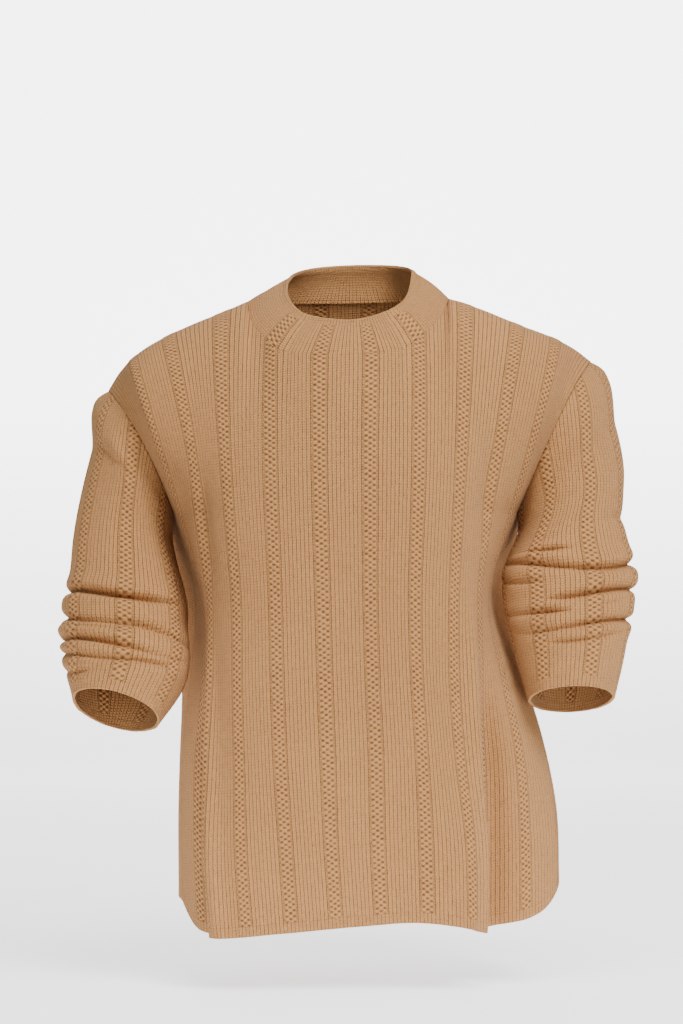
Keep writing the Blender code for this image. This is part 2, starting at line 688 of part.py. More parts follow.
def build_sleeve(name, rings, creases, facing, surfaces, column, collection):
    """A sleeve, from the armhole's edge down to the cuff where it is pushed up."""
    wall = Wall(closed="sleeve")
    upper = [j for j, row in enumerate(PANEL_ROWS) if row >= 0]
    numbers = [k - SLEEVE_COLUMNS // 2 for k in range(SLEEVE_COLUMNS)]
    places = {
        "outer": sorted([k + d for k in numbers
                         for d in (-SLEEVE_FOOT, -SLEEVE_TOP, SLEEVE_TOP, SLEEVE_FOOT, 0.5)]),
        "inner": sorted([k + d for k in numbers for d in (0.0, 0.5)]),
    }
    front = surfaces[True]["outer"]
    back = surfaces[False]["outer"]
    edges = (front[0][upper, column], back[0][upper, column])
    edge_normals = (front[1][upper, column], back[1][upper, column])
    loop = np.concatenate([edges[0][::-1], edges[1][1:-1]])
    loop_normals = np.concatenate([edge_normals[0][::-1], edge_normals[1][1:-1]])
    steps = len(upper) - 1
    loop_angles = np.arange(2 * steps) * 180.0 / steps
    seam = sleeve_places(facing, loop_angles)
    order = np.argsort(seam)
    sides = {}
    for label in ("outer", "inner"):
        at = np.array(places[label])
        points, normals = sleeve_surface(rings, creases, facing, edges, at, SLEEVE_ALONGS)
        first = loop + armhole_way(rings) * SEAM_GAP
        if label == "inner":
            first = first - loop_normals * WALL
            points = points - normals * WALL
        else:
            height = raised(at * COLUMN_PITCH, [k * COLUMN_PITCH for k in numbers])
            rows = np.where(SLEEVE_ALONGS < SLEEVE_END - BAND, 1.0, 0.0)
            points = points + normals * (rows[:, None] * height[None, :])[..., None]
        sides[label] = [wall.row(first[order], seam[order])]
        sides[label] += [wall.row(ring, at) for ring in points]
    wall.close(sides["outer"], sides["inner"])
    return wall.object(name, collection, knit_material(name + " knit"))


def sleeve_places(facing, angles):
    """Column numbers of angles round the armhole, the other way from sleeve_angles."""
    half = SLEEVE_COLUMNS / 2.0
    off = np.mod(angles - facing + 180.0, 360.0) - 180.0
    return off / 180.0 * half


def main():
    for thing in list(bpy.data.objects):
        bpy.data.objects.remove(thing)
    collection = bpy.data.collections.new("Funnel-neck pullover")
    bpy.context.scene.collection.children.link(collection)
    surfaces = {True: {}, False: {}}
    for label, lines in (("outer", OUTER_LINES), ("inner", INNER_LINES)):
        front, back = panel_surfaces(lines)
        for is_front, (points, normals) in ((True, front), (False, back)):
            neck = FRONT_NECK if is_front else BACK_NECK
            inside = (lines > neck[0][0]) & (lines < neck[-1][0])
            normals[-1, inside] = neck_normals(lines[inside], normals[-1, inside], is_front)
            surfaces[is_front][label] = (points, normals)
    build_panel("front", surfaces[True], collection)
    build_panel("back", surfaces[False], collection)
    build_collar(surfaces, collection)
    build_sleeve("sleeve_left", LEFT_RINGS, LEFT_CREASES, LEFT_FACING, surfaces, 0, collection)
    build_sleeve("sleeve_right", RIGHT_RINGS, RIGHT_CREASES, RIGHT_FACING, surfaces, -1, collection)


main()
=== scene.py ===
"""The looks of a worn, hollow pullover with a short funnel collar, in soft napped camel wool.

Millimetres in the tables and metres in Blender. Each knitted piece is one sheet on its solid's
form, and its stitches are counted in its UV map: wales across and rows along.
"""

import math

import bmesh
import bpy
import numpy as np
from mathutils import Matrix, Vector


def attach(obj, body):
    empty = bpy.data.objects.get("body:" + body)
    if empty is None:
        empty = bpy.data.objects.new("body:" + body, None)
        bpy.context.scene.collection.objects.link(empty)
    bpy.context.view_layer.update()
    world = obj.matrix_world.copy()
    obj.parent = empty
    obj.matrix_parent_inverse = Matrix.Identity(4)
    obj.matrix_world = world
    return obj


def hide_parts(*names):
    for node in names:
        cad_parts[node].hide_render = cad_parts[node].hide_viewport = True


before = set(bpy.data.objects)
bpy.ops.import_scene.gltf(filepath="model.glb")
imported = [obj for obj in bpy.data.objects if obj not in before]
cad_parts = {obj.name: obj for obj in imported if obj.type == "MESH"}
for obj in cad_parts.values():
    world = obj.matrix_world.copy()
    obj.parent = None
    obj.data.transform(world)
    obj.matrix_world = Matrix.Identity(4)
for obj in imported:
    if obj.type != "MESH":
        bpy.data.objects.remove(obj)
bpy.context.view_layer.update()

MM = 0.001
WALL = 3.0  # thickness of the knitted cloth

COLUMN_PITCH = 50.0  # from one moss-stitch column to the next
COLUMN_TOP = 5.2  # half the width of a column's raised top
COLUMN_FOOT = 8.2  # half its width where it meets the plain knitting
HALF_PANEL = 275.0  # half the width of the front or the back
HEM = -655.0
UNDERARM = -225.0
BAND = 11.0  # plain band at the hem and the cuffs, where the columns stop

# Plan of the body. A front line is named by its distance across the cloth from the middle of the
# front. Each level gives how far right and how far back each line lies.
FRONT_LINES = (-275, -225, -175, -125, -75, 0, 75, 125, 175, 225, 275)
BACK_LINES = (200, 100, 0, -100, -200)
LEVELS = (HEM, -570, -480, -400, -320, UNDERARM)
FRONT_PLAN = (
    ((-170, -24), (-151, -68), (-137, -116), (-100, -131), (-54, -131), (14, -127),
     (84, -130), (130, -128), (146, -93), (187, -74), (222, -42)),
    ((-172, -20), (-156, -64), (-141, -112), (-106, -130), (-60, -133), (9, -130),
     (82, -132), (128, -129), (147, -95), (186, -74), (220, -40)),
    ((-170, -18), (-155, -66), (-138, -112), (-108, -131), (-66, -134), (7, -132),
     (78, -134), (117, -130), (145, -102), (180, -80), (204, -42)),
    ((-162, -14), (-148, -62), (-136, -106), (-110, -130), (-69, -135), (4, -134),
     (73, -135), (111, -129), (142, -104), (164, -70), (180, -30)),
    ((-158, -8), (-148, -54), (-139, -98), (-111, -127), (-71, -136), (2, -136),
     (71, -136), (111, -126), (138, -99), (150, -56), (156, -10)),
    ((-182, -2), (-173, -48), (-149, -88), (-119, -118), (-75, -131), (0, -134),
     (74, -131), (116, -118), (149, -88), (174, -48), (183, -2)),
)
BACK_PLAN = (
    ((206, 42), (124, 90), (14, 100), (-98, 90), (-174, 48)),
    ((200, 46), (118, 92), (10, 102), (-96, 92), (-174, 50)),
    ((188, 50), (108, 97), (6, 106), (-96, 96), (-172, 52)),
    ((180, 52), (102, 101), (4, 110), (-98, 100), (-175, 54)),
    ((180, 56), (99, 105), (2, 114), (-97, 104), (-182, 56)),
    ((184, 60), (99, 108), (0, 118), (-99, 108), (-184, 60)),
)

# How far the hem is lifted at lines of the front and the back: highest at the side seams.
HEM_LIFT = (
    (-275, 20), (-240, 0), (-160, -6), (-90, -1), (0, 6), (70, 10), (125, 3), (150, -2), (200, 4),
    (250, 17), (275, 36),
    (450, 8), (550, 0), (700, -2),
)

# Where the lines end on the shoulders: line, how far right.
SHOULDER_LINES = (
    (-275, -252), (-225, -226), (-175, -189), (-125, -131), (-104, -104),
    (111, 111), (125, 128), (175, 184), (225, 223), (275, 262),
)
# The shoulder seam: right, up.
SHOULDER_SEAM = (
    (-252, -95), (-241, -77), (-221, -57), (-193, -39), (-168, -27), (-122, -8), (-104, 0),
    (111, 3), (144, -8), (185, -25), (221, -39), (245, -51), (262, -64),
)
SHOULDER_BACK = 8.0  # how far behind the origin the shoulder seam lies
CHEST_RUN = 1.5  # how full the chest and the shoulder blades are, from flat to square
CHEST_EDGE = 50.0  # width at each side of a panel that turns into the armhole
SWELL_EDGE = 175.0  # width at each side that swells round the shoulder
NECK_SEARCH = (0.3, 1.0)  # where on its way up a line can meet the neckline
BROAD = 9.0  # creases at least this wide also show on the upper arm

# The neckline and the collar's edge at the same lines: right, back, up, then the edge's.
FRONT_NECK = (
    (-104, (-104, 8, 0), (-60, 8, 20)),
    (-99, (-99, -32, -22), (-60, -18, 6)),
    (-86, (-86, -60, -41), (-53, -42, -9)),
    (-60, (-60, -90, -61), (-36, -60, -21)),
    (4, (4, -101, -65), (6, -68, -26)),
    (60, (60, -86, -56), (39, -62, -18)),
    (88, (88, -52, -33), (59, -40, -5)),
    (102, (102, -28, -17), (67, -18, 10)),
    (111, (111, 8, 3), (71, 8, 33)),
)
BACK_NECK = (
    (-104, (-104, 8, 0), (-60, 8, 20)),
    (-92, (-92, 40, 4), (-52, 36, 33)),
    (-60, (-60, 62, 6), (-32, 54, 41)),
    (4, (4, 72, 7), (5, 63, 45)),
    (66, (66, 62, 8), (42, 54, 44)),
    (98, (98, 40, 6), (63, 36, 40)),
    (111, (111, 8, 3), (71, 8, 33)),
)

# Soft folds of the body: line at the top and at the hem, level where it begins and ends, height
# (a trough is negative), half width across and the distance over which it fades out.
BODY_FOLDS = (
    (-190, -160, -300, -760, 9.0, 12.0, 160.0),
    (-214, -205, -380, -760, -10.0, 18.0, 120.0),
    (152, 151, -260, -760, 9.0, 12.0, 150.0),
    (180, 186, -330, -760, -11.0, 15.0, 140.0),
    (-186, -200, -150, -330, 4.0, 14.0, 70.0),
    (-166, -168, -170, -340, -3.0, 9.0, 70.0),
    (168, 180, -130, -270, -5.0, 12.0, 60.0),
    (-60, -40, -560, -650, 2.0, 30.0, 40.0),
    (40, 55, -330, -600, 2.0, 26.0, 120.0),
    (430, 400, -120, -620, 5.0, 26.0, 150.0),
    (640, 690, -160, -700, 6.0, 28.0, 160.0),
    (500, 540, -300, -760, -4.0, 24.0, 160.0),
    (745, 760, -200, -700, -5.0, 22.0, 120.0),
)

# Armholes: how far the seam swells to the front and the back, and its run at the shoulder's tip.
ARMHOLE_FRONT = 61.0
ARMHOLE_BACK = 58.0
TIP_RUN = 70.0
UNDERARM_RUN = 190.0
LEAVE_RUN = 60.0  # over this run a sleeve goes over from the armhole's shape to its own

# A sleeve's rings: distance along, outer side right and up, inner side right and up, how far
# back the middle lies, half depth, and how far the ring leans forward in degrees.
LEFT_RINGS = (
    (0, -252, -95, -182, -225, 4, 60, 0),
    (50, -266, -150, -183, -254, 0, 56, 4),
    (100, -279, -205, -177, -280, -8, 50, 9),
    (150, -287, -256, -169, -306, -19, 47, 15),
    (190, -289, -296, -165, -327, -31, 46, 21),
    (230, -292, -332, -164, -354, -44, 44, 26),
    (265, -292, -362, -161, -380, -62, 43, 29),
    (295, -288, -388, -167, -406, -76, 43, 30),
    (330, -281, -420, -191, -441, -88, 43, 30),
)
RIGHT_RINGS = (
    (0, 262, -64, 183, -225, 4, 60, 0),
    (50, 284, -122, 183, -246, 0, 56, 3),
    (100, 295, -176, 177, -262, -7, 50, 6),
    (150, 292, -226, 170, -277, -16, 47, 9),
    (190, 297, -262, 166, -293, -26, 45, 12),
    (230, 302, -296, 166, -320, -38, 43, 15),
    (265, 297, -334, 171, -350, -50, 44, 18),
    (295, 291, -372, 180, -384, -60, 45, 20),
    (330, 279, -419, 190, -421, -70, 45, 20),
)
LEFT_FACING = 90.0  # angle of a column that runs down the middle of the left sleeve's front
RIGHT_FACING = 70.0
SLEEVE_COLUMNS = 7
EVEN_COLUMNS = 1.5  # columns on each side of the facing one that keep their full pitch
WIDEST_PITCH = 66.0  # in degrees
SLEEVE_END = 330.0
BUNCH_BEGINS = 150.0

# A crease is a sharp valley in a broad roll, both as shares of the depth in its table and with
# widths counted in its half widths.
CREASE_DEPTH = 1.6  # factor on the difference between the two
FRONT_DEPTH = 0.6  # share added at the front
CREASE_UNEVEN = 0.28  # share added and taken away round the sleeve
CREASE_WANDER = 2.2  # how far a crease strays up and down round the sleeve
VALLEY_SHARPNESS = 1.35
VALLEY_ROUNDING = 0.03
ROLL_HEIGHT = 0.5
ROLL_WIDTH = 2.4
CREASE_ENDS = 35.0  # angle over which a crease fades out
INNER_SHARE = 0.4  # how much of the creases shows next to the body

# Creases where the sleeves are pushed up: height at the outer side, the front, the inner side
# and the back, depth, half width, and the angles between which each one shows.
LEFT_CREASES = (
    (-310, -312, -327, -318, 8.0, 6.0, -70, 170),
    (-338, -341, -368, -346, 8.0, 6.5, -110, 190),
    (-341, -351, -362, -350, 4.0, 4.5, -10, 100),
    (-359, -364, -386, -370, 7.0, 6.0, -60, 180),
    (-375, -376, -397, -384, 7.0, 6.0, -100, 160),
    (-391, -388, -400, -398, 4.0, 5.0, -50, 75),
    (-300, -300, -345, -331, 6.0, 6.0, 175, 300),
    (-356, -360, -384, -362, 6.0, 7.0, 190, 330),
    (-105, -152, -222, -170, 5.0, 11.0, 55, 165),
    (-150, -182, -240, -200, 3.0, 12.0, 20, 120),
)
RIGHT_CREASES = (
    (-262, -262, -273, -270, 6.0, 5.0, 75, 200),
    (-281, -283, -281, -284, 9.0, 6.5, -110, 185),
    (-296, -300, -298, -300, 5.0, 5.0, 108, 215),
    (-306, -313, -322, -312, 7.0, 6.0, -80, 130),
    (-316, -324, -330, -326, 4.0, 4.5, 25, 80),
    (-325, -331, -333, -334, 6.0, 5.5, 80, 220),
    (-336, -345, -351, -342, 7.0, 6.0, -100, 175),
    (-350, -357, -370, -360, 5.0, 5.5, 15, 130),
    (-300, -310, -330, -306, 6.0, 7.0, 190, 320),
    (-90, -122, -190, -150, 4.0, 10.0, 60, 150),
    (-232, -240, -262, -246, 5.0, 12.0, -50, 60),
)


def smooth(x):
    x = np.clip(x, 0.0, 1.0)
    return x * x * (3.0 - 2.0 * x)


def through(knots, values, at):
    """A smooth curve through the rows of a table."""
    knots = np.asarray(knots, float)
    values = np.asarray(values, float)
    at = np.atleast_1d(np.asarray(at, float))
    slopes = np.gradient(values, knots, axis=0)
    i = np.clip(np.searchsorted(knots, at) - 1, 0, len(knots) - 2)
    shape = (-1,) + (1,) * (values.ndim - 1)
    step = (knots[i + 1] - knots[i]).reshape(shape)
    t = ((at - knots[i]) / (knots[i + 1] - knots[i])).reshape(shape)
    return (
        (2 * t**3 - 3 * t**2 + 1) * values[i]
        + (t**3 - 2 * t**2 + t) * step * slopes[i]
        + (3 * t**2 - 2 * t**3) * values[i + 1]
        + (t**3 - t**2) * step * slopes[i + 1]
    )


def round_curve(knots, values, period, at):
    """The same through rows that close on themselves."""
    knots = np.asarray(knots, float)
    values = np.asarray(values, float)
    knots = np.concatenate([knots[-2:] - period, knots, knots[:2] + period])
    values = np.concatenate([values[-2:], values, values[:2]])
    at = np.atleast_1d(np.asarray(at, float))
    first = knots[2]
    return through(knots, values, first + np.mod(at - first, period))


def unit(v):
    return v / np.maximum(np.linalg.norm(v, axis=-1, keepdims=True), 1e-9)


ROUND = 4 * HALF_PANEL
ROUND_LINES = list(FRONT_LINES) + [2 * HALF_PANEL - line for line in BACK_LINES]
ROUND_PLAN = np.concatenate([np.array(FRONT_PLAN, float), np.array(BACK_PLAN, float)], axis=1)


def body_ring(lines, level):
    """Right and back of the body's lines at one level."""
    plan = through(LEVELS, ROUND_PLAN, level)[0]
    return round_curve(ROUND_LINES, plan, ROUND, lines)


def hem_lift(lines):
    knots = [row[0] for row in HEM_LIFT]
    lifts = [row[1] for row in HEM_LIFT]
    return round_curve(knots, lifts, ROUND, lines)


def neck_at(lines, neck, which):
    """The neckline (1) or the collar's edge (2) where these lines of the body end."""
    place = np.interp(lines, [row[0] for row in neck], np.arange(len(neck)))
    return through(np.arange(len(neck)), [row[which] for row in neck], place)


def body_folds(round_lines, level):
    """Height of the soft folds at points given by their line and their level."""
    height = np.zeros(np.broadcast(round_lines, level).shape)
    for top_line, hem_line, begin, end, rise, half_width, fade in BODY_FOLDS:
        down = np.clip((UNDERARM - level) / (UNDERARM - HEM), -0.5, 1.2)
        line = top_line + (hem_line - top_line) * down
        off = np.mod(round_lines - line + ROUND / 2, ROUND) - ROUND / 2
        along = smooth((begin - level) / fade) * smooth((level - end) / fade)
        height += rise * along * np.exp(-((off / half_width) ** 2))
    return height


def top_points(lines):
    """Where each line meets the shoulder seam, or its run across the neck between the two."""
    x = np.interp(lines, [r[0] for r in SHOULDER_LINES], [r[1] for r in SHOULDER_LINES])
    z = through([r[0] for r in SHOULDER_SEAM], [r[1] for r in SHOULDER_SEAM], x)
    return np.stack([x, np.full_like(x, SHOULDER_BACK), z], axis=1)


def climb(lines, q, front):
    """Points on the way up from the underarm's level (0) to the top of the shoulders (1)."""
    round_lines = lines if front else 2 * HALF_PANEL - lines
    side = 1.0 if front else -1.0
    foot = body_ring(round_lines, UNDERARM)
    lean = (foot - body_ring(round_lines, UNDERARM - 30.0)) / 30.0
    top = top_points(lines)
    rise = top[:, 2] - UNDERARM
    edge = smooth((np.abs(lines) - HALF_PANEL + CHEST_EDGE) / CHEST_EDGE)
    near = smooth((np.abs(lines) - HALF_PANEL + SWELL_EDGE) / SWELL_EDGE)
    start = CHEST_RUN * rise * (1 - edge) + UNDERARM_RUN * edge
    reach = CHEST_RUN * np.abs(top[:, 1] - foot[:, 1]) * (1 - edge)
    leave = np.stack([lean[:, 0] * start, lean[:, 1] * start, start], axis=1)
    arrive = np.stack([np.sign(lines) * TIP_RUN * edge, side * reach, TIP_RUN * edge], axis=1)
    base = np.concatenate([foot, np.full((len(lines), 1), UNDERARM)], axis=1)
    t = np.broadcast_to(q, lines.shape)[:, None]
    points = (
        (2 * t**3 - 3 * t**2 + 1) * base
        + (t**3 - 2 * t**2 + t) * leave
        + (3 * t**2 - 2 * t**3) * top
        + (t**3 - t**2) * arrive
    )
    swell = ARMHOLE_FRONT if front else ARMHOLE_BACK
    points[:, 1] -= side * swell * near * np.sin(np.pi * np.clip(t[:, 0], 0, 1)) ** 0.8
    return points


def neck_cut(lines, neck, front):
    """How far up each line runs before the neckline, and what is left over to reach it."""
    share = np.ones(len(lines))
    miss = np.zeros((len(lines), 3))
    inside = np.where((lines > neck[0][0]) & (lines < neck[-1][0]))[0]
    if len(inside) == 0:
        return share, miss
    goal = neck_at(lines[inside], neck, 1)
    tries = np.linspace(*NECK_SEARCH, 141)
    ways = np.array([climb(lines[inside], q, front) for q in tries])
    far = np.linalg.norm(ways[:, :, 1:] - goal[None, :, 1:], axis=2)
    best = far.argmin(axis=0)
    share[inside] = tries[best]
    miss[inside] = goal - ways[best, np.arange(len(inside))]
    return share, miss


def panel_base(lines, rows, neck, front):
    """Points of the front or the back before folds. Rows below 0 are levels under the
    underarm, and rows from 0 to 1 go on up to the neckline and the shoulder seam."""
    round_lines = lines if front else 2 * HALF_PANEL - lines
    lift = hem_lift(round_lines)
    points = np.zeros((len(rows), len(lines), 3))
    level = np.zeros((len(rows), len(lines)))
    share, miss = neck_cut(lines, neck, front)
    for j, row in enumerate(rows):
        if row < 0:
            points[j, :, :2] = body_ring(round_lines, row)
            hang = (UNDERARM - row) / (UNDERARM - HEM)
            points[j, :, 2] = row + lift * hang
            level[j] = row
        else:
            points[j] = climb(lines, row * share, front) + miss * smooth(row) ** 2
            level[j] = points[j, :, 2]
    return points, level, round_lines


def normals_of(points, closed=False):
    """Directions square to a grid of points, facing away from its left-handed side."""
    up = np.gradient(points, axis=0)
    if closed:
        around = (np.roll(points, -1, axis=1) - np.roll(points, 1, axis=1)) / 2
    else:
        around = np.gradient(points, axis=1)
    return unit(np.cross(around, up))


def panel(lines, rows, neck, front):
    """The folded surface of the front or the back, without its raised columns."""
    points, level, round_lines = panel_base(lines, rows, neck, front)
    normals = normals_of(points) * (1 if front else -1)
    folds = body_folds(round_lines[None, :], level)
    top_fade = np.array([1.0 if row < 0 else 1.0 - smooth((row - 0.5) / 0.4) for row in rows])
    side_fade = 1.0 - smooth((np.abs(lines) - 255.0) / 20.0)
    upper = np.array([0.0 if row < 0 else 1.0 for row in rows])[:, None]
    fade = top_fade[:, None] * (1 - upper * (1 - side_fade[None, :]))
    points = points + normals * (folds * fade)[..., None]
    return points, normals_of(points) * (1 if front else -1)


def column_pitch(girth):
    """Angle from one column to the next on a sleeve's front, and on the rest of it."""
    even = min(360.0 * COLUMN_PITCH / girth, WIDEST_PITCH)
    return even, (180.0 - EVEN_COLUMNS * even) / (SLEEVE_COLUMNS / 2.0 - EVEN_COLUMNS)


def sleeve_angles(facing, columns, girth):
    """Angles of places counted in columns: even on the front, closer on the hidden side."""
    pitch, rest = column_pitch(girth)
    size = np.abs(columns)
    beyond = np.maximum(size - EVEN_COLUMNS, 0.0)
    angle = np.minimum(size, EVEN_COLUMNS) * pitch + beyond * rest
    return facing + np.sign(columns) * angle


def sleeve_ring(rings, along, angles):
    """Points of one ring. Angle 0 is the outer side, 90 the front, 180 next to the body."""
    row = through([r[0] for r in rings], [r[1:] for r in rings], along)[0]
    outer = np.array([row[0], row[4], row[1]])
    inner = np.array([row[2], row[4], row[3]])
    lean = np.radians(row[6])
    middle = (outer + inner) / 2
    across = (outer - inner) / 2
    deep = row[5] * np.array([0.0, -np.cos(lean), np.sin(lean)])
    a = np.radians(angles)[:, None]
    return middle + np.cos(a) * across + np.sin(a) * deep


def girth_at(rings, along):
    probe = sleeve_ring(rings, along, AROUND)
    return np.linalg.norm(probe - np.roll(probe, 1, axis=0), axis=1).sum()


def crease_height(creases, angles, z, along):
    """How far in or out the creases push points at these angles and heights."""
    push = np.zeros_like(z)
    for number, crease in enumerate(creases):
        outer, front, inner, back, depth, half_width, begin, end = crease
        if half_width < BROAD:
            depth = depth * smooth((along - BUNCH_BEGINS + 10.0) / 35.0)
        turned = np.mod(angles - begin, 360.0)
        middle = round_curve((0, 90, 180, 270), (outer, front, inner, back), 360.0, angles)
        span = end - begin
        window = smooth(turned / CREASE_ENDS) * smooth((span - turned) / CREASE_ENDS)
        turn = np.radians(angles)
        uneven = 1.0 + CREASE_UNEVEN * np.sin(1.7 * turn + 2.3 * number)
        middle = middle + CREASE_WANDER * np.sin(2.6 * turn + 1.9 * number)
        h = (z - middle) / half_width
        valley = np.exp(-VALLEY_SHARPNESS * np.sqrt(h**2 + VALLEY_ROUNDING))
        roll = ROLL_HEIGHT * np.exp(-((h / ROLL_WIDTH) ** 2))
        facing_front = 1.0 + FRONT_DEPTH * np.clip(np.sin(turn), 0.0, 1.0)
        push += CREASE_DEPTH * depth * uneven * facing_front * window * (roll - valley)
    away_from_body = smooth((np.cos(np.radians(angles)) + 1.0) / 0.7)
    return push * (INNER_SHARE + (1.0 - INNER_SHARE) * away_from_body)


def armhole_point(front_edge, back_edge, angles):
    """Points of the armhole seam at angles round the sleeve."""
    turned = np.mod(angles, 360.0)
    q = np.where(turned <= 180.0, 1.0 - turned / 180.0, (turned - 180.0) / 180.0)
    steps = np.linspace(0.0, 1.0, len(front_edge))
    on_front = np.stack([np.interp(q, steps, front_edge[:, k]) for k in range(3)], axis=1)
    on_back = np.stack([np.interp(q, steps, back_edge[:, k]) for k in range(3)], axis=1)
    return np.where((turned <= 180.0)[:, None], on_front, on_back)


def sleeve_surface(rings, creases, facing, edges, columns, alongs):
    """Points and normals of a sleeve below its seam, ring by ring."""
    points, turns = [], []
    for along in alongs:
        angles = sleeve_angles(facing, columns, girth_at(rings, along))
        ring = sleeve_ring(rings, along, angles)
        seam = armhole_point(edges[0], edges[1], angles) + leaving(rings, angles) * along
        part = smooth(along / LEAVE_RUN)
        points.append(seam * (1 - part) + ring * part)
        turns.append(angles)
    points = np.array(points)
    turns = np.array(turns)
    side = 1.0 if rings[0][1] < 0 else -1.0
    normals = -side * normals_of(points, closed=True)
    push = np.array([
        crease_height(creases, a, p[:, 2], along) for a, p, along in zip(turns, points, alongs)
    ])
    fade = smooth((np.array(alongs) - 8.0) / 25.0) * smooth((SLEEVE_END - np.array(alongs)) / 14.0)
    points = points + normals * (push * fade[:, None])[..., None]
    return points, -side * normals_of(points, closed=True)


def armhole_way(rings):
    """The way that the sleeve leaves its armhole: square to the armhole, out and down."""
    first = rings[0]
    slope = unit(np.array([first[1] - first[3], 0.0, first[2] - first[4]], float))
    side = np.sign(first[1])
    return np.array([side * slope[2], 0.0, -side * slope[0]])


def leaving(rings, angles):
    """The same at angles round the sleeve, turned straight down near the underarm."""
    under = smooth((-np.cos(np.radians(angles)) - 0.2) / 0.7)[:, None]
    return (1.0 - under) * armhole_way(rings) + under * np.array([0.0, 0.0, -1.0])


WALES = 12.0  # stitches from one moss-stitch column to the next
WALE = COLUMN_PITCH / WALES  # width of a stitch
ROW = 2.9  # height of a stitch
SEAM_FADE = 60.0  # distances from a seam are stored up to this far, in millimetres
SOFT_SEAM = 1.0  # the neck and shoulder seams are so much fainter than the armholes'
COLUMN_RISE = 0.5
EDGE_ROUNDING = 1.1
MOSS_EDGE = (1.72, 1.5)  # in wales from a column's middle: where the moss stitch begins and is full
BORDER_INNER = (1.35, 1.65)  # the groove beside a column, from its inner side
BORDER_OUTER = (2.1, 1.8)
COLLAR_LINED = 80.0  # the collar's stitches run on from the front's up to this far to each side
COLLAR_TUCK = 0.09  # share of the collar's height that runs down inside the neckline
COLLAR_TUCKED_IN = 1.4  # how far in that strip lies
COLLAR_BULGE = 2.5
COLLAR_ROLL = 1.6  # height of the roll at the bound-off edge
ROLL_MIDDLE = 0.95  # where it lies on the collar's height, and its half width as a share
ROLL_HALF_WIDTH = 0.05

CAMERA_AWAY = 3.2
CAMERA_UP = -0.307
CAMERA_RIGHT = -0.0037
CAMERA_PITCH = 1.48
LENS = 106.1
FLOOR = -0.715

PANEL_MESH = (190, 200)  # steps across and along
BELOW_UNDERARM = 0.62  # share of a panel's steps along that lie below the underarm
SLEEVE_MESH = (150, 250)
SLEEVE_TOP_STEPS = 36  # of the steps along a sleeve: down to LEAVE_RUN
SLEEVE_PLAIN_STEPS = 34  # and from there down to the bunched part
COLLAR_MESH = (156, 104, 34)  # points round the front, round the back and up
EDGE_STEPS = 61  # points along an armhole's edge
AROUND = np.arange(0.0, 360.0, 15.0)  # angles at which a sleeve's girth is measured
BELOW_RING = 20.0  # how far on along the sleeve its direction is taken

# Sizes of the wool's unevenness, as scales of the noise.
BROAD_SCALE = 9.0
WANDER_SCALE = 60.0
LOOSE_SCALE = 240.0
FIBRE_SCALE = 1100.0
SOFTNESS = 0.95
BUMP_HEIGHT = 0.0013

# The backdrop: a floor that bends up into a wall. Its length is shared between the three.
SWEEP_HALF_WIDTH = 1.35
SWEEP_FRONT = -0.8
SWEEP_FLOOR = 4.2
SWEEP_BEND = 1.0
SWEEP_WALL = 2.2
FLOOR_SHARE = 0.45
BEND_SHARE = 0.2
SWEEP_STEPS = 48
PAPER = (0.86, 0.865, 0.875, 1.0)
# The sweep glows as painted light, dimmer at the floor and full on the wall, and lights the garment
# like a large soft lamp.
GLOW = 4.5
GLOW_AT_FLOOR = (0.34, 0.34, 0.34, 1.0)
GLOW_ON_WALL = (1.0, 1.0, 1.0, 1.0)
GLOW_FROM = 0.05  # heights over the floor between which the glow comes up
GLOW_TO = 0.9
WORLD_LIGHT = 0.28
MIDDLE = (0.0, 0.0, -0.3)  # what the lamps in front point at
# Lamps: name, place, what it points at, size and power.
LAMPS = (
    ("key", (1.15, -1.75, 1.35), MIDDLE, (0.9, 0.9), 62.0),
    ("top", (0.3, -1.3, 2.3), MIDDLE, (1.2, 1.2), 60.0),
    ("fill", (-1.6, -2.6, 0.6), MIDDLE, (1.4, 1.4), 17.0),
    ("edge_left", (-1.6, 1.0, 0.3), MIDDLE, (0.5, 2.0), 2.0),
    ("edge_right", (1.7, 1.0, 0.3), MIDDLE, (0.5, 2.0), 2.0),
    ("backdrop_light", (0.0, 1.9, 2.6), (0.0, 4.4, 0.6), (3.0, 0.8), 60.0),
)


class Maths:
    """A shader value that can be written in an expression."""

    def __init__(self, tree, socket):
        self.tree = tree
        self.socket = socket

    def op(self, kind, *others):
        node = self.tree.nodes.new("ShaderNodeMath")
        node.operation = kind
        for slot, value in enumerate((self,) + others):
            if isinstance(value, Maths):
                self.tree.links.new(value.socket, node.inputs[slot])
            else:
                node.inputs[slot].default_value = value
        return Maths(self.tree, node.outputs[0])

    def __add__(self, other):
        return self.op("ADD", other)

    def __radd__(self, other):
        return self.op("ADD", other)

    def __sub__(self, other):
        return self.op("SUBTRACT", other)

    def __rsub__(self, other):
        return (self * -1.0) + other

    def __mul__(self, other):
        return self.op("MULTIPLY", other)

    def __rmul__(self, other):
        return self.op("MULTIPLY", other)

    def wave(self, turns=1.0):
        """A cosine that repeats so many times in each whole unit, from -1 to 1."""
        return (self * (2 * math.pi * turns)).op("COSINE")

    def size(self):
        return self.op("ABSOLUTE")

    def over(self, low, high):
        """0 at low and 1 at high, or the other way round."""
        return ((self - low) * (1.0 / (high - low))).op("MAXIMUM", 0.0).op("MINIMUM", 1.0)


